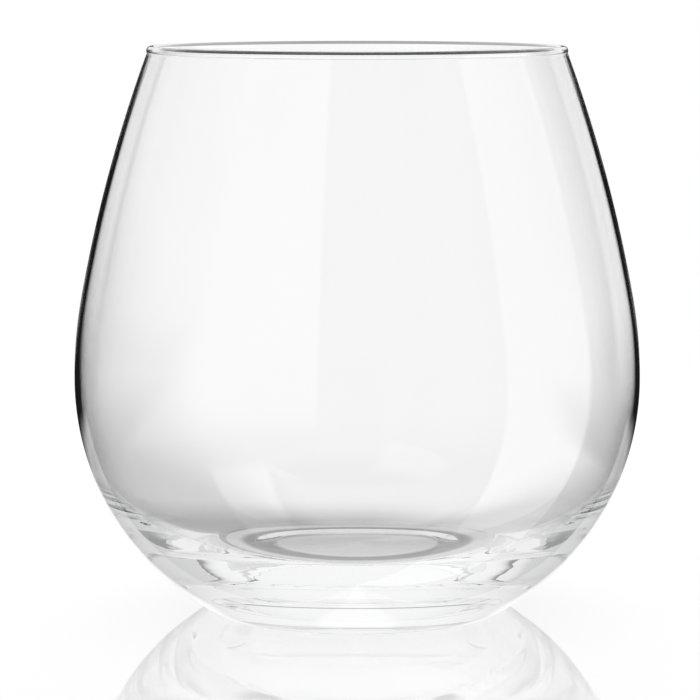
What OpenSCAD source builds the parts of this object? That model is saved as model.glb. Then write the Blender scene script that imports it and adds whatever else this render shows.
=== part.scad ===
// Stemless wine glass: a thin blown bowl on a heavy base, with a rounded rim.
// The origin is on the table under the middle of the base, and Z is the axis.

/* [Outline] */
// Height from the table to the top of the rim
glass_h = 95.6; // [80:0.2:115]
// Outside diameter at the widest part of the bowl
belly_d = 96; // [84:1:110]
// Height of the widest part above the table
belly_z = 39.3; // [34:0.1:46]
// Outside diameter over the rim
rim_d = 70.9; // [58:0.1:84]
// Diameter at which the straight flare under the bowl would reach the table
foot_d = 50.8; // [42:0.2:58]
// Radius above the widest part, as a share of a single arc from there to the rim
shoulder_share = 0.61; // [0.45:0.01:0.85]
// Radius of the upper wall, as a share of that same arc
wall_share = 1.9; // [1.3:0.1:4]
// Radius below the widest part, as a share of a single arc from there to the foot
lower_share = 0.983; // [0.9:0.001:0.995]

/* [Rim] */
// Thickness of the fire-polished bead
bead_d = 1.5; // [1.3:0.1:1.8]
// Distance that the bead stands out past the wall
bead_proud = 0.25; // [0.15:0.05:0.35]
// Height of the finished zone, from the top of the bead down
rim_h = 3; // [2:0.5:6]

/* [Wall] */
// Thickness of the wall at the bead
rim_wall = 0.85; // [0.7:0.05:1]
// Thickness of the wall at the widest part
belly_wall = 1.05; // [0.8:0.05:1.6]

/* [Base] */
// Height of the heavy base, up to where the blown wall starts
base_h = 20; // [15:1:30]
// Height of the inside floor above the table
floor_z = 8.4; // [7:0.2:11]
// Radius of the upper cup, as a share of its depth below the widest part
cup_share = 1.463; // [1.25:0.001:1.7]
// Radius of the turn into the floor, as a share of that same depth
turn_share = 0.783; // [0.6:0.001:0.9]
// Width of the flat ring that the glass stands on
foot_ring_w = 7; // [4:0.5:10]
// Width of the sloping edge of the hollow under the base
punt_slope_w = 3.8; // [2:0.2:6]
// Depth of the hollow at the top of its sloping edge
punt_depth = 1.2; // [0.6:0.2:3]
// Height of the low dome over the middle of the hollow
punt_dome_h = 0.2; // [0.1:0.1:0.6]
// Radius that rounds the edge of the foot
heel_r = 1.2; // [0.6:0.2:2.4]

/* [Quality] */
// Facets around the glass
facets = 144; // [64:8:256]
// Length of each facet along the large arcs of the section
facet_l = 1.5; // [0.8:0.1:2]
// Least number of facets in a full turn of any arc of the section
least_facets = 64; // [48:8:96]

/* [Hidden] */

// Every cut runs this far past the glass that it opens
overrun = 1;

// Each line of the outline laps the last one by this much, so that they cross on a clear point
hair = 0.01;

belly_r = belly_d / 2;
foot_r = foot_d / 2;
bead_r = bead_d / 2;
bead_at = [rim_d / 2 - bead_r, glass_h - bead_r];

// Inside of the wall at the widest part, and the two sides of its end in the bead
inner_belly_r = belly_r - belly_wall;
wall_end = [rim_d / 2 - bead_proud, bead_at.y];
inner_wall_end = wall_end - [rim_wall, 0];

// The lower bowl is upright at the widest part, and the flare touches it on the way to the foot
lower_r = lower_share * upright_arc_r(belly_r - foot_r, belly_z);
lower_at = [belly_r - lower_r, belly_z];
foot_edge = [foot_r, 0];
flare = tangent_way(foot_edge, lower_at, lower_r);
flare_top = foot_edge + flare;
flare_way = flare / norm(flare);

// The heel touches the table and the flare
heel_at = [foot_r - heel_r * flare_way.y / (1 + flare_way.x), heel_r];
heel_top = heel_at + heel_r * [flare_way.y, -flare_way.x];

// The cup is upright at the widest part, and turns tighter until it is level at the floor
cup_depth = belly_z - floor_z;
cup_r = cup_share * cup_depth;
turn_r = turn_share * cup_depth;
cup_at = [inner_belly_r - cup_r, belly_z];
turn_sin = (cup_depth - turn_r) / (cup_r - turn_r);
turn_at = cup_at + (cup_r - turn_r) * [sqrt(1 - turn_sin * turn_sin), -turn_sin];
turn_z = belly_z - cup_r * turn_sin;

// The hollow starts at the inner edge of the flat ring
punt_r = heel_at.x - foot_ring_w;
dome_edge_r = punt_r - punt_slope_w;
dome_r = cap_r(dome_edge_r, punt_dome_h);

// Zones meet face to face on these levels
bowl_z = base_h;
rim_z = glass_h - rim_h;

// Number of facets in a full turn of an arc of the section
function arc_facets(r) = max(least_facets, ceil(2 * PI * r / facet_l));

// Turn that puts a corner of an arc level with the wall's end, so that facets pair up across the wall
function facet_turn(centre, r) = asin(min((wall_end.y - centre.y) / r, 1));

// Radius of the arc that starts upright and comes in by run over this rise
function upright_arc_r(run, rise) = (run * run + rise * rise) / (2 * run);

// Radius of the ball that has a cap with this edge radius and height
function cap_r(edge_r, cap_h) = (edge_r * edge_r + cap_h * cap_h) / (2 * cap_h);

// Way from a point under a circle to where its outer tangent touches
function tangent_way(point, centre, r) =
    let (to_centre = centre - point, far = norm(to_centre), long = sqrt(far * far - r * r))
    let (along = to_centre / far, across = [along.y, -along.x])
    (long * along + r * across) * long / far;

// Shoulder and upper wall from the widest part to end, each as centre, radius and start height
function upper_arcs(belly, end) =
    let (full_r = upright_arc_r(belly - end.x, end.y - belly_z))
    let (r = shoulder_share * full_r, wall_r = wall_share * full_r, apart = wall_r - r)
    let (at = [belly - r, belly_z], way = end - at, far = norm(way), along = way / far)
    let (step = (apart * apart - wall_r * wall_r + far * far) / (2 * far))
    let (side = sqrt(apart * apart - step * step))
    let (wall_at = at + step * along + side * [-along.y, along.x])
    [[at, r, belly_z], [wall_at, wall_r, at.y + (at.y - wall_at.y) * r / apart]];

// Height over which a hair of lap lets the tighter of two arcs cross the flatter one
function lap_h(r, next_r) =
    let (tight_r = min(r, next_r), flat_r = max(r, next_r))
    2 * sqrt(2 * hair * tight_r / (1 - tight_r / flat_r));

// Distance that an arc of a chain stands out, so that the tighter of two is always a hair outside
function lap_out(arcs, i) = i == 0 ? 0 : lap_out(arcs, i - 1) + hair * sign(arcs[i - 1][1] - arcs[i][1]);

// Fills a level band from the axis out to an arc
module arc_band(centre, r, from_z, to_z) {
    band_h = to_z - from_z;
    core = max(centre.x, 0);
    intersection() {
        translate(centre) rotate(facet_turn(centre, r)) circle(r = r, $fn = arc_facets(r));
        translate([core, from_z]) square([r, band_h]);
    }
    if (core > 0) {
        translate([0, from_z]) square([core, band_h]);
    }
}

// Fills from the axis out to arcs that run into each other, the tighter of two lapping the flatter
module arc_chain(arcs, top_z) {
    last = len(arcs) - 1;
    for (i = [0:last]) {
        r = arcs[i][1];
        under_r = arcs[max(i - 1, 0)][1];
        over_r = arcs[min(i + 1, last)][1];
        from_z = arcs[i][2] - (r < under_r ? lap_h(r, under_r) : 0);
        end_z = i < last ? arcs[i + 1][2] : top_z;
        to_z = end_z + (r < over_r ? lap_h(r, over_r) : 0);
        arc_band(arcs[i][0], r + lap_out(arcs, i), from_z, to_z);
    }
}

// Section of the glass as if it were solid
module outside() {
    lower = [lower_at, lower_r, flare_top.y - lap_h(lower_r, 1 / 0)];
    arc_band(heel_at, heel_r, 0, heel_top.y + lap_h(heel_r, 1 / 0));
    translate([-hair, 0]) polygon([[0, heel_top.y], heel_top, flare_top, [0, flare_top.y]]);
    arc_chain([lower, each upper_arcs(belly_r, wall_end)], wall_end.y);
}

// Section of the space inside
module inside() {
    turn = [turn_at, turn_r, floor_z];
    cup = [cup_at, cup_r, turn_z];
    arc_chain([turn, cup, each upper_arcs(inner_belly_r, inner_wall_end)], wall_end.y + overrun);
}

// Section of the wall between two levels
module wall_zone(from_z, to_z) {
    intersection() {
        difference() {
            outside();
            inside();
        }
        translate([0, from_z]) square([belly_d, to_z - from_z]);
    }
}

// Shallow hollow under the base, with a sloping edge and a low dome
module punt() {
    edge = [[punt_r, -overrun], [punt_r, 0], [dome_edge_r, punt_depth]];
    polygon([[0, -overrun], each edge, [0, punt_depth]]);
    intersection() {
        translate([0, punt_depth + punt_dome_h - hair - dome_r]) circle(r = dome_r, $fn = arc_facets(dome_r));
        square([dome_edge_r, punt_depth + punt_dome_h]);
    }
}

module base() {
    color([0.84, 0.91, 0.91, 0.5])
        rotate_extrude($fn = facets)
            difference() {
                wall_zone(0, bowl_z);
                punt();
            }
}

module bowl() {
    color([0.9, 0.95, 0.95, 0.3])
        rotate_extrude($fn = facets)
            wall_zone(bowl_z, rim_z);
}

module rim() {
    color([0.8, 0.88, 0.88, 0.5])
        rotate_extrude($fn = facets) {
            wall_zone(rim_z, wall_end.y);
            translate(bead_at) circle(r = bead_r, $fn = arc_facets(bead_r));
        }
}

base();
bowl();
rim();
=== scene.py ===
"""Stemless wine glass: one clear blown glass on a pale glossy table in a white studio."""
import logging
import math
from dataclasses import dataclass
from enum import Enum
from typing import Any

import bpy
import numpy as np
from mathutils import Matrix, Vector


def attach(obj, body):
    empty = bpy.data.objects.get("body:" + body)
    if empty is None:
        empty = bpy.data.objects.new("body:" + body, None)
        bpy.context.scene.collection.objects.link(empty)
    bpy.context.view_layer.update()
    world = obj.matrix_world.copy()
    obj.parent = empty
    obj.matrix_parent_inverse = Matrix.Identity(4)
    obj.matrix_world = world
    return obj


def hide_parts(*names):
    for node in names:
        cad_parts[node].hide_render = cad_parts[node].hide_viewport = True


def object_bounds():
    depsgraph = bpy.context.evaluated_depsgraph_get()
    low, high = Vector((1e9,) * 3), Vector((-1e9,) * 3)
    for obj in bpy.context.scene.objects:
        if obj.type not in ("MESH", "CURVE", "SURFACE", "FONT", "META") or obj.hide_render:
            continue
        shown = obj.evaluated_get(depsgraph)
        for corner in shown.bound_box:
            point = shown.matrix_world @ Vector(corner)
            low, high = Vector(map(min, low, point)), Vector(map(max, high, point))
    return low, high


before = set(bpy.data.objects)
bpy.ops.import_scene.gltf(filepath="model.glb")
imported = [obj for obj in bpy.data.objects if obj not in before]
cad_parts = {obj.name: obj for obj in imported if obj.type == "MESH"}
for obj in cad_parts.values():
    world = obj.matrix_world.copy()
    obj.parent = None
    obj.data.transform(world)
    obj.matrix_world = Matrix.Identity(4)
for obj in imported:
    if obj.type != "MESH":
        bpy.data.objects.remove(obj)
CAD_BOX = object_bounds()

LOG = logging.getLogger("stemless_glass")

# The photograph's frame is square, so one side gives both
PHOTO_SIDE_PX = 700
ROOT_BODY = "root"
MM = 0.001
WHITE = (1.0, 1.0, 1.0, 1.0)

# Enough for the light that is caught in the thick base to find its way out
MOST_BOUNCES = 300

# Points of the section that are closer than this, in metres, are one point
SAME_POINT = 1e-9

# Layer Weight with this blend gives 1 less the cosine of the angle that a ray comes in at
PLAIN_BLEND = 0.5

# Light Path counts in whole numbers, so a ray with a count over one of these has been mirrored at
# least that often, or has gone through two walls, which have two surfaces each
ONE_MIRROR = 0.5
TWO_MIRRORS = 1.5
THREE_MIRRORS = 2.5
TWO_WALLS = 3.5


class Zone(Enum):
    """Zones of the glass, by the names of their solids."""

    BASE = "base"
    BOWL = "bowl"
    RIM = "rim"


class SeenIn(Enum):
    """Where a panel of the studio shows in the glass."""

    SKIN = "skin"
    BASE = "base"
    BOTH = "both"


class NodeGraph:
    """Adds nodes to a tree and wires them, one line for each node."""

    def __init__(self, tree: bpy.types.NodeTree) -> None:
        """Keeps the tree, and clears it.

        Args:
            tree: Shader or geometry node tree to fill.
        """
        self.tree = tree
        tree.nodes.clear()

    def add(self, kind: str, settings: dict[str, Any] | None = None,
            **inputs: Any) -> bpy.types.Node:
        """Adds a node, sets it and wires its inputs.

        Args:
            kind: Type name of the node.
            settings: Properties of the node itself.
            **inputs: Values or output sockets, by input name, with spaces as underscores, or
                by place, such as i0.

        Returns:
            The new node.
        """
        node = self.tree.nodes.new(kind)
        for name, value in (settings or {}).items():
            setattr(node, name, value)
        for name, value in inputs.items():
            by_place = name[0] == "i" and name[1:].isdigit()
            socket = node.inputs[int(name[1:]) if by_place else name.replace("_", " ")]
            if isinstance(value, bpy.types.NodeSocket):
                self.tree.links.new(value, socket)
            else:
                socket.default_value = value
        return node

    def math(self, operation: str, *values: Any) -> bpy.types.NodeSocket:
        """Adds a Math node.

        Args:
            operation: Name of the operation.
            *values: Numbers or sockets, in order.

        Returns:
            The node's output.
        """
        places = {f"i{i}": value for i, value in enumerate(values)}
        return self.add("ShaderNodeMath", {"operation": operation}, **places).outputs[0]

    def product(self, first: Any, *others: Any) -> Any:
        """Adds the Math nodes that multiply values.

        Args:
            first: Number or socket to start from.
            *others: Numbers or sockets to multiply it by, in order.

        Returns:
            The last node's output.
        """
        made = first
        for other in others:
            made = self.math("MULTIPLY", made, other)
        return made

    def rest(self, share: Any) -> bpy.types.NodeSocket:
        """Adds the Math node for what is left of 1 without this share."""
        return self.math("SUBTRACT", 1.0, share)

    def ramp(self, value: Any, zero_at: float, one_at: float) -> bpy.types.NodeSocket:
        """Adds a Map Range node that eases from 0 to 1.

        Args:
            value: Socket to map.
            zero_at: Value that gives 0.
            one_at: Value that gives 1, which can be the smaller of the two.

        Returns:
            The node's output.
        """
        settings = {"interpolation_type": "SMOOTHSTEP", "clamp": True}
        return self.add("ShaderNodeMapRange", settings, i0=value, i1=zero_at, i2=one_at).outputs[0]

    def band(self, value: Any, start: float, end: float, start_soft: float,
             end_soft: float) -> bpy.types.NodeSocket:
        """Adds the nodes for a band that is 1 between two soft edges and 0 past them.

        Args:
            value: Socket to map.
            start: Middle of the first edge.
            end: Middle of the last edge.
            start_soft: Half the width of the first edge.
            end_soft: Half the width of the last edge.

        Returns:
            The last node's output.
        """
        return self.product(self.ramp(value, start - start_soft, start + start_soft),
                            self.ramp(value, end + end_soft, end - end_soft))

    def glow(self, strength: Any) -> bpy.types.NodeSocket:
        """Adds a white Emission node of this strength."""
        return self.add("ShaderNodeEmission", Color=WHITE, Strength=strength).outputs[0]

    def mix(self, share: Any, first: bpy.types.NodeSocket,
            second: bpy.types.NodeSocket) -> bpy.types.NodeSocket:
        """Adds a Mix Shader node that goes from the first shader at 0 to the second at 1."""
        return self.add("ShaderNodeMixShader", i0=share, i1=first, i2=second).outputs[0]


@dataclass
class GlassSection:
    """Half section of the glass, in metres, from the middle of the underside round the rim.

    Attributes:
        height: Height of the top of the rim.
        belly_radius: Outside radius at the widest part.
        belly_height: Height of the widest part.
        rim_radius: Outside radius over the rim.
        foot_radius: Radius at which the straight flare under the bowl would reach the table.
        shoulder_share: Radius above the widest part, as a share of a single arc to the rim.
        wall_share: Radius of the upper wall, as a share of that same arc.
        lower_share: Radius below the widest part, as a share of a single arc to the foot.
        bead_radius: Radius of the bead.
        bead_proud: Distance that the bead stands out past the wall.
        bead_dip: Angle below level at which the bead meets the wall.
        rim_wall: Thickness of the wall at the bead.
        belly_wall: Thickness of the wall at the widest part.
        floor_thickness: Height of the inside floor.
        cup_share: Radius of the upper cup, as a share of its depth below the widest part.
        turn_share: Radius of the turn into the floor, as a share of that same depth.
        punt_radius: Radius of the hollow under the base.
        punt_slope_width: Width of the hollow's sloping edge.
        punt_depth: Depth of the hollow at the top of that edge.
        punt_dome: Height of the low dome over the middle of the hollow.
        heel_radius: Radius that rounds the edge of the foot.
        polish: Reach of the fire polish along the section.
        step: Step of the fine section, before it is thinned.
        arc_step: Step along an arc.
        least_points: Least number of points on an arc.
        longest_side: Longest side of the thinned section.
        sharpest_turn: Turn between two of its sides past which a point is kept.
    """

    height: float
    belly_radius: float
    belly_height: float = 39.3 * MM
    rim_radius: float = 35.45 * MM
    foot_radius: float = 25.4 * MM
    shoulder_share: float = 0.61
    wall_share: float = 1.9
    lower_share: float = 0.983
    bead_radius: float = 0.75 * MM
    bead_proud: float = 0.25 * MM
    bead_dip: float = math.radians(35)
    rim_wall: float = 0.85 * MM
    belly_wall: float = 1.05 * MM
    floor_thickness: float = 8.4 * MM
    cup_share: float = 1.463
    turn_share: float = 0.783
    punt_radius: float = 18.0 * MM
    punt_slope_width: float = 3.8 * MM
    punt_depth: float = 1.2 * MM
    punt_dome: float = 0.2 * MM
    heel_radius: float = 1.2 * MM
    polish: float = 0.3 * MM
    step: float = 0.04 * MM
    arc_step: float = 0.1 * MM
    least_points: int = 8
    longest_side: float = 0.9 * MM
    sharpest_turn: float = math.radians(3)

    def arc(self, centre: np.ndarray, radius: float, start: float, end: float) -> np.ndarray:
        """Points along an arc, close enough to stand for it.

        Args:
            centre: Centre, as distance from the axis and height.
            radius: Radius.
            start: Angle of the first point, from straight out.
            end: Angle of the last point.

        Returns:
            Points, one a row.
        """
        count = int(abs(end - start) * radius / self.arc_step)
        turn = np.linspace(start, end, max(self.least_points, count))
        return centre + radius * np.stack([np.cos(turn), np.sin(turn)], axis=1)

    @staticmethod
    def upright_arc_radius(run: float, rise: float) -> float:
        """Radius of the arc that starts upright and comes in by run over this rise."""
        return (run * run + rise * rise) / (2 * run)

    def upper_arcs(self, belly: float, end: np.ndarray) -> np.ndarray:
        """Shoulder and upper wall, from the widest part to the rim.

        Args:
            belly: Distance from the axis at the widest part.
            end: Last point of the wall.

        Returns:
            Points, from the bottom up.
        """
        full = self.upright_arc_radius(belly - end[0], end[1] - self.belly_height)
        radius, wall_radius = self.shoulder_share * full, self.wall_share * full
        apart = wall_radius - radius
        at = np.array([belly - radius, self.belly_height])
        far = np.linalg.norm(end - at)
        along = (end - at) / far
        reach = (apart**2 - wall_radius**2 + far**2) / (2 * far)
        side = math.sqrt(apart**2 - reach**2)
        wall_at = at + reach * along + side * np.array([-along[1], along[0]])
        turn = math.atan2(*(at - wall_at)[::-1])
        last = math.atan2(*(end - wall_at)[::-1])
        shoulder = self.arc(at, radius, 0, turn)
        return np.vstack([shoulder, self.arc(wall_at, wall_radius, turn, last)[1:]])

    def cap(self, edge: float, rise: float, level: float) -> np.ndarray:
        """Points of a low cap, from the axis out.

        Args:
            edge: Distance of its edge from the axis.
            rise: Height of its middle over its edge.
            level: Height of its edge.

        Returns:
            Points, one a row.
        """
        radius = (edge * edge + rise * rise) / (2 * rise)
        slope = math.asin(edge / radius)
        centre = np.array([0.0, level + rise - radius])
        return self.arc(centre, radius, math.pi / 2, math.pi / 2 - slope)

    def outside(self) -> np.ndarray:
        """Points from the middle of the underside up to the bead.

        Returns:
            Points, one a row.
        """
        out_by = self.belly_radius - self.foot_radius
        radius = self.lower_share * self.upright_arc_radius(out_by, self.belly_height)
        centre = np.array([self.belly_radius - radius, self.belly_height])
        foot = np.array([self.foot_radius, 0.0])
        far = np.linalg.norm(centre - foot)
        along = (centre - foot) / far
        across = np.array([along[1], -along[0]])
        length = math.sqrt(far**2 - radius**2)
        way = (length * along + radius * across) / far
        normal = np.array([way[1], -way[0]])
        heel_inset = self.heel_radius * way[1] / (1 + way[0])
        heel_at = np.array([self.foot_radius - heel_inset, self.heel_radius])
        slope = math.atan2(normal[1], normal[0])
        wall_end = np.array([self.rim_radius - self.bead_proud, self.height - self.bead_radius])
        return np.vstack([
            self.cap(self.punt_radius - self.punt_slope_width, self.punt_dome, self.punt_depth),
            np.array([[self.punt_radius, 0.0]]),
            self.arc(heel_at, self.heel_radius, -math.pi / 2, slope),
            self.arc(centre, radius, slope, 0),
            self.upper_arcs(self.belly_radius, wall_end)[1:],
        ])

    def inside(self) -> np.ndarray:
        """Points from the bead down to the middle of the floor.

        Returns:
            Points, one a row.
        """
        belly = self.belly_radius - self.belly_wall
        inner_end = self.rim_radius - self.bead_proud - self.rim_wall
        wall_end = np.array([inner_end, self.height - self.bead_radius])
        drop = self.belly_height - self.floor_thickness
        wide, tight = self.cup_share * drop, self.turn_share * drop
        turn = math.asin((drop - tight) / (wide - tight))
        wide_at = np.array([belly - wide, self.belly_height])
        tight_at = wide_at + (wide - tight) * np.array([math.cos(turn), -math.sin(turn)])
        return np.vstack([
            self.upper_arcs(belly, wall_end)[::-1],
            self.arc(wide_at, wide, 0, -turn)[1:],
            self.arc(tight_at, tight, -turn, -math.pi / 2)[1:],
            np.array([[0.0, self.floor_thickness]]),
        ])

    def bead(self) -> np.ndarray:
        """Points over the bead, from where it leaves the outside to where it meets the inside."""
        at = np.array([self.rim_radius - self.bead_radius, self.height - self.bead_radius])
        return self.arc(at, self.bead_radius, -self.bead_dip, math.pi + self.bead_dip)

    def outline(self) -> np.ndarray:
        """The whole half section, with its corners fire-polished.

        Returns:
            Points, one a row, closest together where the section turns most.
        """
        outer, bead, inner = self.outside(), self.bead(), self.inside()
        join = 2 * self.step
        outer = outer[outer[:, 1] < bead[0, 1] - join]
        inner = inner[inner[:, 1] < bead[-1, 1] - join]
        rough = np.vstack([outer, bead, inner])
        gaps = np.linalg.norm(np.diff(rough, axis=0), axis=1)
        way = np.concatenate([[0], np.cumsum(gaps)])
        keep = np.concatenate([[True], gaps > SAME_POINT])
        places = np.linspace(0, way[-1], int(way[-1] / self.step))
        fine = np.stack([np.interp(places, way[keep], rough[keep, i]) for i in (0, 1)], axis=1)
        return self.thinned(self.polished(fine))

    def polished(self, fine: np.ndarray) -> np.ndarray:
        """Rounds the corners of the section, as the flame does.

        Args:
            fine: Points a small step apart.

        Returns:
            As many points, with both ends on the axis.
        """
        reach = int(self.polish / self.step)
        window = np.hanning(2 * reach + 3)[1:-1]
        window /= window.sum()
        mirror = np.array([-1.0, 1.0])
        padded = np.vstack([fine[reach:0:-1] * mirror, fine, fine[-2:-reach - 2:-1] * mirror])
        smooth = np.stack([np.convolve(padded[:, i], window, "valid") for i in (0, 1)], axis=1)
        smooth[0, 0] = smooth[-1, 0] = 0.0
        return smooth

    def thinned(self, fine: np.ndarray) -> np.ndarray:
        """Drops points where the section is nearly straight.

        Args:
            fine: Points a small step apart.

        Returns:
            The points that are kept.
        """
        ways = np.diff(fine, axis=0)
        heading = np.unwrap(np.arctan2(ways[:, 1], ways[:, 0]))
        kept, turned, gone = [0], heading[0], 0.0
        for i in range(1, len(fine) - 1):
            gone += np.linalg.norm(ways[i - 1])
            if abs(heading[i] - turned) > self.sharpest_turn or gone > self.longest_side:
                kept.append(i)
                turned, gone = heading[i], 0.0
        kept.append(len(fine) - 1)
        return fine[kept]


@dataclass(frozen=True)
class ClearGlass:
    """Clear soda-lime glass, its fire-polished skin a little uneven where the base was gathered.

    Attributes:
        name: Name of the material and of its slot.
        ior: Index of refraction.
        tint: Colour that deep glass takes.
        density: Depth of that colour.
        streak: Number of waves in a metre, along each axis.
        wave: Height of the waves in the skin.
        wave_detail: Finer waves on the main ones.
        calm: Share of the waves that the upper wall has.
        wave_top: Height up to which the skin has more than that.
        wave_full: Height up to which it has them all.
    """

    name: str = "clear_glass"
    ior: float = 1.5
    tint: tuple[float, float, float, float] = (0.93, 0.97, 0.965, 1.0)
    density: float = 1.0
    streak: tuple[float, float, float] = (60.0, 60.0, 260.0)
    wave: float = 0.02 * MM
    wave_detail: float = 2.0
    calm: float = 0.02
    wave_top: float = 26 * MM
    wave_full: float = 10 * MM

    def material(self) -> bpy.types.Material:
        """Makes the finish.

        Returns:
            The new material.
        """
        made = bpy.data.materials.new(self.name)
        made.use_nodes = True
        graph = NodeGraph(made.node_tree)
        spot = graph.add("ShaderNodeTexCoord").outputs["Object"]
        level = graph.add("ShaderNodeSeparateXYZ", i0=spot).outputs["Z"]
        stretched = graph.add("ShaderNodeMapping", Vector=spot, Scale=self.streak).outputs[0]
        waves = graph.add("ShaderNodeTexNoise", Vector=stretched, Scale=1.0,
                          Detail=self.wave_detail).outputs[0]
        much = graph.math("MAXIMUM", graph.ramp(level, self.wave_top, self.wave_full), self.calm)
        uneven = graph.add("ShaderNodeBump", Strength=much, Distance=self.wave, Height=waves)
        skin = graph.add("ShaderNodeBsdfPrincipled", Base_Color=WHITE, Roughness=0.0, IOR=self.ior,
                         Transmission_Weight=1.0, Normal=uneven.outputs[0])
        body = graph.add("ShaderNodeVolumeAbsorption", Color=self.tint, Density=self.density)
        graph.add("ShaderNodeOutputMaterial", Surface=skin.outputs[0], Volume=body.outputs[0])
        return made


@dataclass
class BlownGlass:
    """The glass itself: its section turned about the axis into one seamless piece.

    Attributes:
        section: Half section to turn.
        finish: Finish of the glass.
        facets: Facets around the glass.
        weld: Distance under which points are joined, along the seam and on the axis.
    """

    section: GlassSection
    finish: ClearGlass
    facets: int = 256
    weld: float = 0.002 * MM

    def turning_tree(self) -> tuple[bpy.types.NodeTree, dict[str, str]]:
        """Makes the node tree that turns a row of points about the Z axis.

        Returns:
            The tree, and the identifier of each named input.
        """
        tree = bpy.data.node_groups.new("turned_section", "GeometryNodeTree")
        kinds = {"Section": "NodeSocketGeometry", "Facets": "NodeSocketInt",
                 "Weld": "NodeSocketFloat", "Finish": "NodeSocketMaterial"}
        sockets = {name: tree.interface.new_socket(name=name, in_out="INPUT", socket_type=kind)
                   for name, kind in kinds.items()}
        tree.interface.new_socket(name="Glass", in_out="OUTPUT", socket_type="NodeSocketGeometry")
        graph = NodeGraph(tree)
        given = graph.add("NodeGroupInput").outputs
        row = graph.add("GeometryNodeAttributeDomainSize", Geometry=given["Section"]).outputs
        points = row["Point Count"]
        last = graph.math("SUBTRACT", points, 1)
        columns = graph.math("ADD", given["Facets"], 1)
        side = 1.0
        sheet = graph.add("GeometryNodeMeshGrid", Size_X=side, Size_Y=side, Vertices_X=columns,
                          Vertices_Y=points)
        here = graph.add("GeometryNodeInputPosition").outputs[0]
        spot = graph.add("ShaderNodeSeparateXYZ", i0=here).outputs
        around = graph.product(graph.math("ADD", spot["X"], side / 2), math.tau)
        along = graph.math("ROUND", graph.product(graph.math("ADD", spot["Y"], side / 2), last))
        picked = graph.add("GeometryNodeSampleIndex",
                           {"data_type": "FLOAT_VECTOR", "domain": "POINT"},
                           Geometry=given["Section"], Index=along, Value=here)
        point = graph.add("ShaderNodeSeparateXYZ", i0=picked.outputs[0]).outputs
        place = graph.add("ShaderNodeCombineXYZ",
                          X=graph.product(point["X"], graph.math("COSINE", around)),
                          Y=graph.product(point["X"], graph.math("SINE", around)), Z=point["Z"])
        turned = graph.add("GeometryNodeSetPosition", Geometry=sheet.outputs["Mesh"],
                           Position=place.outputs[0])
        welded = graph.add("GeometryNodeMergeByDistance", Geometry=turned.outputs[0],
                           Distance=given["Weld"])
        smooth = graph.add("GeometryNodeSetShadeSmooth", Geometry=welded.outputs[0])
        real = graph.add("GeometryNodeRealizeInstances", Geometry=smooth.outputs[0])
        coated = graph.add("GeometryNodeSetMaterial", Geometry=real.outputs[0],
                           Material=given["Finish"])
        graph.add("NodeGroupOutput", i0=coated.outputs[0])
        return tree, {name: socket.identifier for name, socket in sockets.items()}

    def build(self) -> bpy.types.Object:
        """Turns the section into a plain closed mesh.

        Returns:
            The glass, at the origin.
        """
        row = self.section.outline()
        sides = [(i, i + 1) for i in range(len(row) - 1)]
        mesh = bpy.data.meshes.new("section")
        mesh.from_pydata([(r, 0.0, z) for r, z in row], sides, [])
        maker = bpy.data.objects.new("section", mesh)
        bpy.context.scene.collection.objects.link(maker)
        tree, names = self.turning_tree()
        turning = maker.modifiers.new("turning", "NODES")
        turning.node_group = tree
        turning[names["Facets"]] = self.facets
        turning[names["Weld"]] = self.weld
        turning[names["Finish"]] = self.finish.material()
        ready = maker.evaluated_get(bpy.context.evaluated_depsgraph_get())
        plain = bpy.data.meshes.new_from_object(ready)
        plain.name = "wine_glass"
        bpy.data.objects.remove(maker)
        bpy.data.meshes.remove(mesh)
        glass = bpy.data.objects.new("wine_glass", plain)
        bpy.context.scene.collection.objects.link(glass)
        return glass

    def dress(self, glass: bpy.types.Object) -> None:
        """Puts the glass in the place of its three zones.

        Args:
            glass: The finished piece.
        """
        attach(glass, ROOT_BODY)
        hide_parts(*(zone.value for zone in Zone))


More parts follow.
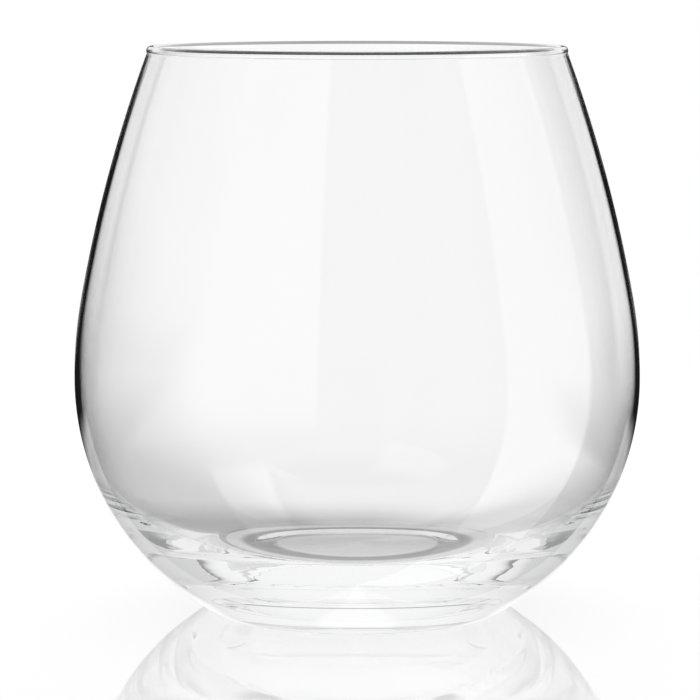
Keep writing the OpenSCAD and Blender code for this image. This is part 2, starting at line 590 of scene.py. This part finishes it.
@dataclass(frozen=True)
class RimLineShade:
    """Painted shade that draws the dark line of the rim: the table's glow is darkened for rays that
    the bead bends down.

    Attributes:
        section: Half section of the glass.
        bead_soft: Height below the bead over which the line fades.
        wall_bend: Curve of the wall above the widest part, which comes in by this times the
            square of the height over it.
        foot_bend: The same below the widest part.
        thick_end: Height where the thick lower wall ends, through which there is no line.
        thin_start: Height where the thin wall starts, through which the line is full.
        steep_start: Slant of a ray, as a sine, up to which the line is full.
        steep_end: Slant past which there is no line.
        far_bead: Share of the table's glow that is painted out, as shade, for rays through the far
            side of the rim.
    """

    section: GlassSection
    bead_soft: float = 1.2 * MM
    wall_bend: float = 5.5
    foot_bend: float = 14.6
    thick_end: float = 18 * MM
    thin_start: float = 26 * MM
    steep_start: float = 0.74
    steep_end: float = 0.84
    far_bead: float = 0.6

    def wall_radius(self, graph: NodeGraph, height: bpy.types.NodeSocket) -> bpy.types.NodeSocket:
        """Adds the nodes for how far the wall is from the axis.

        Args:
            graph: Graph of the table's material.
            height: Height over the table.

        Returns:
            Radius of the wall there, from one parabola above the widest part and one below.
        """
        over_belly = graph.math("SUBTRACT", height, self.section.belly_height)
        below = graph.math("LESS_THAN", over_belly, 0.0)
        bend = graph.math("MULTIPLY_ADD", below, self.wall_bend - self.foot_bend, -self.wall_bend)
        square = graph.product(over_belly, over_belly)
        return graph.math("MULTIPLY_ADD", square, bend, self.section.belly_radius)

    def run_to_rim(self, graph: NodeGraph, far: bpy.types.NodeSocket, run: bpy.types.NodeSocket,
                   wall: bpy.types.NodeSocket) -> bpy.types.NodeSocket:
        """Adds the nodes that follow a ray back, over the level, to the near side of the rim.

        Args:
            graph: Graph of the table's material.
            far: Distance of the point on the table from the axis.
            run: Level distance from that point back to where the ray left the wall.
            wall: Radius of the wall there.

        Returns:
            Level distance from the point back to the near side of the rim.
        """
        rim_square = (self.section.rim_radius - self.section.bead_radius)**2
        far_square = graph.product(far, far)
        rest = graph.math("SUBTRACT", far_square, graph.product(wall, wall))
        along = graph.math("DIVIDE", graph.math("MULTIPLY_ADD", run, run, rest),
                           graph.product(run, 2.0))
        reach = graph.math("MULTIPLY_ADD", along, along,
                           graph.math("SUBTRACT", rim_square, far_square))
        chord = graph.math("SQRT", graph.math("MAXIMUM", reach, 0.0))
        return graph.math("ADD", along, chord)

    def lost(self, graph: NodeGraph, far: bpy.types.NodeSocket) -> bpy.types.NodeSocket:
        """Adds the nodes for the painted shade of the rim line, which pick out the rays which came
        through the bead.

        The last stretch of a ray gives where it left the wall, and so how high it passed the
        near side of the rim.

        Args:
            graph: Graph of the table's material.
            far: Distance of the point on the table from the axis.

        Returns:
            Share of the table's glow that is painted out, as shade, for this ray.
        """
        light = graph.add("ShaderNodeLightPath").outputs
        facing = graph.add("ShaderNodeLayerWeight", Blend=PLAIN_BLEND).outputs["Facing"]
        slant = graph.rest(facing)
        level = graph.math("COSINE", graph.math("ARCSINE", slant))
        run = graph.product(light["Ray Length"], level)
        left_at = graph.product(light["Ray Length"], slant)
        back_to_rim = self.run_to_rim(graph, far, run, self.wall_radius(graph, left_at))
        passed = graph.product(back_to_rim, graph.math("DIVIDE", slant, level))
        bead = self.section.height - 2 * self.section.bead_radius
        thin = graph.product(graph.ramp(left_at, self.thick_end, self.thin_start),
                             graph.ramp(slant, self.steep_end, self.steep_start))
        # Painted shade: full for rays over the near side of the rim, a share of it for the far side
        near = graph.product(graph.ramp(passed, bead - self.bead_soft, bead), thin)
        back = graph.product(graph.ramp(left_at, bead - self.bead_soft, bead), self.far_bead)
        two_walls = graph.math("GREATER_THAN", light["Transmission Depth"], TWO_WALLS)
        one_wall = graph.rest(two_walls)
        return graph.math("MULTIPLY_ADD", two_walls, near, graph.product(one_wall, back))


@dataclass(frozen=True)
class TableShade:
    """How light the table's glow looks through the glass, with painted shade by the foot, at the
    sides and in a ring under the base.

    Attributes:
        near_shade: Share of the glow that is taken off by the foot, as a painted shadow.
        near_start: Distance from the axis up to which that is so.
        near_end: Distance past which no light is lost by the foot.
        lit_from: Distance to the right of the axis from which that painted shadow by the foot is
            gone.
        side_shade: Share of the glow that is taken off at the sides, as painted shade.
        side_middle: Bearing of the middle of the lit part, from straight behind the glass.
        side_start: Angle off that middle where the sides start.
        side_end: Angle off it from which their shade is full.
        side_near: Distance from the axis up to which the sides are shaded.
        side_far: Distance past which they are not.
        flank_start: Distance to either side of the axis where the sides start as well.
        flank_end: Distance from which their shade is full.
        patch_radius: Radius of the patch of table under the glass.
        patch_level: Brightness of that patch.
        ring_shade: Share of its glow that is taken off in the ring on it, as a painted shadow.
        ring_start: Inner radius of the ring.
        ring_end: Outer radius of the ring.
        ring_soft: Half the width of the ring's edges.
    """

    near_shade: float = 0.42
    near_start: float = 22 * MM
    near_end: float = 72 * MM
    lit_from: float = 25 * MM
    side_shade: float = 0.26
    side_middle: float = math.radians(5)
    side_start: float = math.radians(13)
    side_end: float = math.radians(29)
    side_near: float = 150 * MM
    side_far: float = 330 * MM
    flank_start: float = 50 * MM
    flank_end: float = 64 * MM
    patch_radius: float = 24 * MM
    patch_level: float = 0.7
    ring_shade: float = 0.55
    ring_start: float = 15 * MM
    ring_end: float = 20.5 * MM
    ring_soft: float = 1.0 * MM

    def side_light(self, graph: NodeGraph, place: bpy.types.NodeOutputs,
                   far: bpy.types.NodeSocket) -> bpy.types.NodeSocket:
        """Adds the nodes for the painted shade at the sides.

        Args:
            graph: Graph of the table's material.
            place: Point on the table, by axis.
            far: Its distance from the axis.

        Returns:
            Share of the light that is left.
        """
        bearing = graph.math("ARCTAN2", place["X"], place["Y"])
        off = graph.math("ABSOLUTE", graph.math("SUBTRACT", bearing, self.side_middle))
        flank = graph.ramp(graph.math("ABSOLUTE", place["X"]), self.flank_start, self.flank_end)
        aside = graph.math("MAXIMUM", graph.ramp(off, self.side_start, self.side_end), flank)
        close = graph.product(graph.ramp(far, self.side_far, self.side_near), -self.side_shade)
        return graph.math("MULTIPLY_ADD", aside, close, 1.0)

    def brightness(self, graph: NodeGraph, place: bpy.types.NodeOutputs,
                   far: bpy.types.NodeSocket, lost: bpy.types.NodeSocket) -> bpy.types.NodeSocket:
        """Adds the nodes for how bright the table's glow is, with painted shade by the foot, at the
        sides and under it.

        Args:
            graph: Graph of the table's material.
            place: Point on the table, by axis.
            far: Its distance from the axis.
            lost: Share of the glow that is painted out, as shade, in the line of the rim.

        Returns:
            Brightness of the glow at the point, with its painted shade.
        """
        # Painted shadow by the foot, which fades out to the right of the axis
        by_foot = graph.product(graph.ramp(far, self.near_end, self.near_start),
                                graph.ramp(place["X"], self.lit_from, 0.0))
        near = graph.math("MULTIPLY_ADD", by_foot, -self.near_shade, 1.0)
        open_part = graph.product(near, self.side_light(graph, place, far), graph.rest(lost))
        # Painted shadow ring on the glowing patch under the base
        ring = graph.band(far, self.ring_start, self.ring_end, self.ring_soft, self.ring_soft)
        patch = graph.math("MULTIPLY_ADD", ring, -self.ring_shade * self.patch_level,
                           self.patch_level)
        under = graph.math("LESS_THAN", far, self.patch_radius)
        return graph.math("MULTIPLY_ADD", under, patch, graph.product(open_part, graph.rest(under)))


@dataclass
class Table:
    """Pale glossy table that the glass stands on.

    Attributes:
        rim_line: Painted shade on the table that draws the line of the rim in the glass.
        shade: Painted shade on the table's glow, as it looks through the glass.
        radius: Radius of the top.
        facets: Sides of the top.
        sweep_start: Distance from the axis where the top starts to turn into a white sweep.
        sweep_end: Distance from which it is all sweep.
        white_radius: Distance from the axis up to which a mirrored ray finds a painted white glow
            on the table.
        white_base_radius: The same for a ray out of the thick base.
        white_middle: Distance to either side of the axis up to which that painted white glow is
            full.
        white_end: Distance from which it has painted shade.
        white_shade: Share of the painted white glow that is taken off there, as painted shade.
        colour: Colour of the top.
        glow: Strength of the top's own light.
        roughness: Roughness of the top.
        ior: Index of refraction of the top.
    """

    rim_line: RimLineShade
    shade: TableShade = TableShade()
    radius: float = 0.5
    facets: int = 64
    sweep_start: float = 110 * MM
    sweep_end: float = 380 * MM
    white_radius: float = 26 * MM
    white_base_radius: float = 150 * MM
    white_middle: float = 8 * MM
    white_end: float = 56 * MM
    white_shade: float = 0.65
    colour: tuple[float, float, float, float] = (0.3, 0.3, 0.3, 1.0)
    glow: float = 0.52
    roughness: float = 0.03
    ior: float = 1.55

    def build(self) -> bpy.types.Object:
        """Makes the table top, flush with the foot of the glass.

        Returns:
            The table top.
        """
        mesh = bpy.data.meshes.new("table_top")
        turn = np.linspace(0, math.tau, self.facets, endpoint=False)
        edge = [(self.radius * math.cos(a), self.radius * math.sin(a), 0.0) for a in turn]
        mesh.from_pydata(edge, [], [list(range(len(edge)))])
        top = bpy.data.objects.new("table_top", mesh)
        bpy.context.scene.collection.objects.link(top)
        mesh.materials.append(self.material())
        return top

    def front(self, graph: NodeGraph, far: bpy.types.NodeSocket) -> bpy.types.NodeSocket:
        """Adds the nodes for the top as the camera sees it: glossy, and white further off.

        Args:
            graph: Graph of the table's material.
            far: Distance of the point from the axis.

        Returns:
            The shader.
        """
        plain = graph.add("ShaderNodeBsdfPrincipled", Base_Color=self.colour,
                          Roughness=self.roughness, IOR=self.ior, Emission_Color=WHITE,
                          Emission_Strength=self.glow)
        sweep = graph.ramp(far, self.sweep_start, self.sweep_end)
        return graph.mix(sweep, plain.outputs[0], graph.glow(1.0))

    def mirrored(self, graph: NodeGraph, mirrors: bpy.types.NodeSocket,
                 place: bpy.types.NodeOutputs, far: bpy.types.NodeSocket) -> bpy.types.NodeSocket:
        """Adds the nodes for the top as mirrored rays see it: a painted white glow by the foot,
        with painted shade to the sides, and else clear.

        Args:
            graph: Graph of the table's material.
            mirrors: How often the ray was mirrored.
            place: Point on the table, by axis.
            far: Its distance from the axis.

        Returns:
            The shader.
        """
        aside = graph.math("ABSOLUTE", place["X"])
        dimmed = graph.ramp(aside, self.white_middle, self.white_end)
        # Painted light: a white glow for mirrored rays, darker to either side as painted shade
        white = graph.glow(graph.math("MULTIPLY_ADD", dimmed, -self.white_shade, 1.0))
        deep = graph.math("GREATER_THAN", mirrors, THREE_MIRRORS)
        reach = graph.math("MULTIPLY_ADD", deep, self.white_base_radius - self.white_radius,
                           self.white_radius)
        clear = graph.add("ShaderNodeBsdfTransparent").outputs[0]
        return graph.mix(graph.math("LESS_THAN", far, reach), clear, white)

    def material(self) -> bpy.types.Material:
        """Makes the table's material: glossy white to the camera, with painted glow and painted
        shade where it shows in the glass.

        Returns:
            The new material.
        """
        made = bpy.data.materials.new("pale_table")
        made.use_nodes = True
        graph = NodeGraph(made.node_tree)
        light = graph.add("ShaderNodeLightPath").outputs
        spot = graph.add("ShaderNodeTexCoord").outputs["Object"]
        place = graph.add("ShaderNodeSeparateXYZ", i0=spot).outputs
        far = graph.add("ShaderNodeVectorMath", {"operation": "LENGTH"}, i0=spot).outputs["Value"]
        # Rays through the glass see a glow with painted shade: by the foot, at the sides, in a ring
        # under the base and along the rim line
        lost = self.rim_line.lost(graph, far)
        through = graph.glow(self.shade.brightness(graph, place, far, lost))
        mirrors = light["Glossy Depth"]
        in_glass = graph.mix(graph.math("GREATER_THAN", mirrors, ONE_MIRROR), through,
                             self.mirrored(graph, mirrors, place, far))
        both = graph.mix(light["Is Camera Ray"], in_glass, self.front(graph, far))
        graph.add("ShaderNodeOutputMaterial", Surface=both)
        return made


@dataclass(frozen=True)
class Softbox:
    """Evenly lit panel far from the glass, between two bearings and two heights, in degrees.

    Attributes:
        start: Bearing of its first edge, from straight behind the glass to the right.
        end: Bearing of its last edge.
        bottom: Height of its lower edge over the horizon.
        top: Height of its upper edge.
        level: Brightness.
        start_soft: Half the width of the first edge.
        end_soft: Half the width of the last edge.
        bottom_soft: Half the width of the lower edge.
        top_soft: Half the width of the upper edge.
        both_sides: Whether the panel is there at the left as well.
        seen_in: Where it shows in the glass.
    """

    start: float
    end: float
    bottom: float
    top: float
    level: float
    start_soft: float = 1.0
    end_soft: float = 1.0
    bottom_soft: float = 1.5
    top_soft: float = 5.0
    both_sides: bool = False
    seen_in: SeenIn = SeenIn.SKIN

    def shine(self, graph: NodeGraph, bearing: bpy.types.NodeSocket, climb: bpy.types.NodeSocket,
              masks: dict[SeenIn, bpy.types.NodeSocket]) -> bpy.types.NodeSocket:
        """Adds the nodes that light the panel.

        Args:
            graph: Graph of the world.
            bearing: Bearing of the ray from straight behind the glass, to the right.
            climb: Height of the ray over the horizon.
            masks: Whether the ray comes off the skin of the glass or out of its base.

        Returns:
            Brightness of the panel along the ray.
        """
        way = graph.math("ABSOLUTE", bearing) if self.both_sides else bearing
        across = graph.band(way, *map(math.radians, (self.start, self.end, self.start_soft,
                                                     self.end_soft)))
        upright = graph.band(climb, *map(math.radians, (self.bottom, self.top, self.bottom_soft,
                                                        self.top_soft)))
        shone = graph.product(across, upright, self.level)
        return graph.product(shone, masks[self.seen_in]) if self.seen_in in masks else shone


@dataclass
class Studio:
    """Dark room with a white backdrop and softboxes, as glass is lit to draw its edges.

    Attributes:
        dark: Brightness of the room between the panels.
        inner: Brightness that rays mirrored once between the walls find.
        panels: The lit panels.
    """

    dark: float = 0.01
    inner: float = 0.4
    panels: tuple[Softbox, ...] = (
        # Backdrop, and its foot below the black gap that draws the edges of the glass
        Softbox(-1, 26, 5, 50, 1.0, both_sides=True, bottom_soft=1, seen_in=SeenIn.BOTH),
        Softbox(-1, 15, -95, -11, 1.0, both_sides=True, end_soft=5, top_soft=1.5),
        Softbox(-1, 35, -95, -11, 0.5, both_sides=True, top_soft=1.5),
        # Softbox at the right, with hard edges
        Softbox(72, 118, -95, 70, 1.0, start_soft=0.5, end_soft=0.5),
        # Softbox at the left of the camera, and a low one under it
        Softbox(-165, -105, -14, 70, 1.0, start_soft=2, end_soft=14, bottom_soft=12),
        Softbox(-141, -113, -58, -28, 1.0, start_soft=2, end_soft=2, bottom_soft=3),
        # Grey room behind the camera
        Softbox(116, 185, -20, 58, 0.5, both_sides=True, bottom_soft=15),
        # Cards beside the backdrop, from its edges outwards
        Softbox(26, 50, -6, 60, 1.0, end_soft=6, bottom_soft=8),
        Softbox(-46, -26, -1, 60, 0.95, start_soft=6, bottom_soft=8),
        Softbox(46, 75, 1, 60, 0.55, bottom_soft=6, start_soft=6),
        Softbox(-120, -46, 6, 60, 0.85, bottom_soft=8, end_soft=6),
        # Backdrop and its foot, as they show in the thick base
        Softbox(-1, 36, 4, 99, 1.0, both_sides=True, end_soft=8, bottom_soft=1,
                seen_in=SeenIn.BASE),
        Softbox(-1, 36, 0.5, 99, 0.5, both_sides=True, end_soft=8, bottom_soft=0.7,
                seen_in=SeenIn.BASE),
        Softbox(-1, 36, -95, -11, 1.0, both_sides=True, end_soft=8, top_soft=1.5,
                seen_in=SeenIn.BASE),
        # Card at the left and pale room, as they show in the thick base
        Softbox(-52, -25, -95, 95, 0.95, start_soft=8, end_soft=2, seen_in=SeenIn.BASE),
        Softbox(28, 185, -95, 95, 0.75, both_sides=True, start_soft=4, seen_in=SeenIn.BASE),
    )

    def in_glass(self, graph: NodeGraph, light: bpy.types.NodeOutputs) -> bpy.types.NodeSocket:
        """Adds the nodes for what shows in the glass: the panels, and a grey between its walls.

        Args:
            graph: Graph of the world.
            light: Outputs of Light Path.

        Returns:
            Brightness along the ray.
        """
        spot = graph.add("ShaderNodeTexCoord").outputs["Generated"]
        way = graph.add("ShaderNodeSeparateXYZ", i0=spot).outputs
        bearing = graph.math("ARCTAN2", way["X"], way["Y"])
        climb = graph.math("ARCSINE", way["Z"])
        mirrors = light["Glossy Depth"]
        masks = {SeenIn.SKIN: graph.math("LESS_THAN", mirrors, THREE_MIRRORS),
                 SeenIn.BASE: graph.math("GREATER_THAN", mirrors, THREE_MIRRORS)}
        shown: Any = self.dark
        for panel in self.panels:
            shown = graph.math("MAXIMUM", shown, panel.shine(graph, bearing, climb, masks))
        two_walls = graph.math("GREATER_THAN", light["Transmission Depth"], TWO_WALLS)
        inside = graph.product(two_walls, graph.math("LESS_THAN", mirrors, TWO_MIRRORS))
        outer = graph.product(shown, graph.rest(inside))
        return graph.math("MULTIPLY_ADD", inside, self.inner, outer)

    @staticmethod
    def straight(graph: NodeGraph, light: bpy.types.NodeOutputs) -> bpy.types.NodeSocket:
        """Adds the nodes for rays that nothing mirrored, which see plain white.

        Args:
            graph: Graph of the world.
            light: Outputs of Light Path.

        Returns:
            1 for such a ray, and 0 for others.
        """
        bounces = graph.math("ADD", light["Glossy Depth"], light["Diffuse Depth"])
        through = graph.product(light["Is Transmission Ray"],
                                graph.math("LESS_THAN", bounces, ONE_MIRROR))
        direct = graph.math("MAXIMUM", light["Is Camera Ray"], light["Is Diffuse Ray"])
        return graph.math("MAXIMUM", direct, through)

    def build(self) -> bpy.types.World:
        """Makes the surround.

        Returns:
            The world, set on the scene.
        """
        world = bpy.data.worlds.new("studio")
        world.use_nodes = True
        graph = NodeGraph(world.node_tree)
        light = graph.add("ShaderNodeLightPath").outputs
        shown = graph.math("MAXIMUM", self.in_glass(graph, light), self.straight(graph, light))
        sky = graph.add("ShaderNodeBackground", Color=WHITE, Strength=shown)
        graph.add("ShaderNodeOutputWorld", Surface=sky.outputs[0])
        bpy.context.scene.world = world
        return world


@dataclass
class Viewpoint:
    """Camera of the photograph.

    Attributes:
        distance: Level distance from the axis of the glass.
        height: Height over the table.
        pitch: Angle that it looks down at.
        focal_px: Focal length, in pixels of the photograph.
        axis_px: Column of the photograph that the axis of the glass is on.
        sensor: Width of the sensor, in millimetres.
    """

    distance: float = 0.5320
    height: float = 0.10927
    pitch: float = math.radians(6.992)
    focal_px: float = 3148.9
    axis_px: float = 357.2
    sensor: float = 36.0

    def build(self) -> bpy.types.Object:
        """Makes the camera and sets it on the scene.

        Returns:
            The camera.
        """
        data = bpy.data.cameras.new("camera")
        data.sensor_width = self.sensor
        data.lens = self.focal_px * self.sensor / PHOTO_SIDE_PX
        camera = bpy.data.objects.new("camera", data)
        pan = math.atan((self.axis_px - PHOTO_SIDE_PX / 2) / self.focal_px)
        camera.location = (0.0, -self.distance, self.height)
        camera.rotation_euler = (math.pi / 2 - self.pitch, 0.0, pan)
        bpy.context.scene.collection.objects.link(camera)
        bpy.context.scene.camera = camera
        return camera


def main() -> None:
    """Builds the camera, the studio, the table and the glass, and reports each."""
    logging.basicConfig(level=logging.INFO, format="%(name)s: %(message)s")
    scene = bpy.context.scene
    scene.view_settings.view_transform = "Standard"
    scene.cycles.max_bounces = MOST_BOUNCES
    scene.cycles.glossy_bounces = scene.cycles.transmission_bounces = MOST_BOUNCES
    LOG.info("camera %s", Viewpoint().build().name)
    LOG.info("surround %s", Studio().build().name)
    low, high = CAD_BOX
    belly_radius = min(high.x, high.y, -low.x, -low.y)
    section = GlassSection(height=high.z - low.z, belly_radius=belly_radius)
    LOG.info("table %s", Table(RimLineShade(section)).build().name)
    maker = BlownGlass(section, ClearGlass())
    glass = maker.build()
    maker.dress(glass)
    points, faces = len(glass.data.vertices), len(glass.data.polygons)
    LOG.info("%s: %d points, %d faces", glass.name, points, faces)


if __name__ == "__main__":
    main()
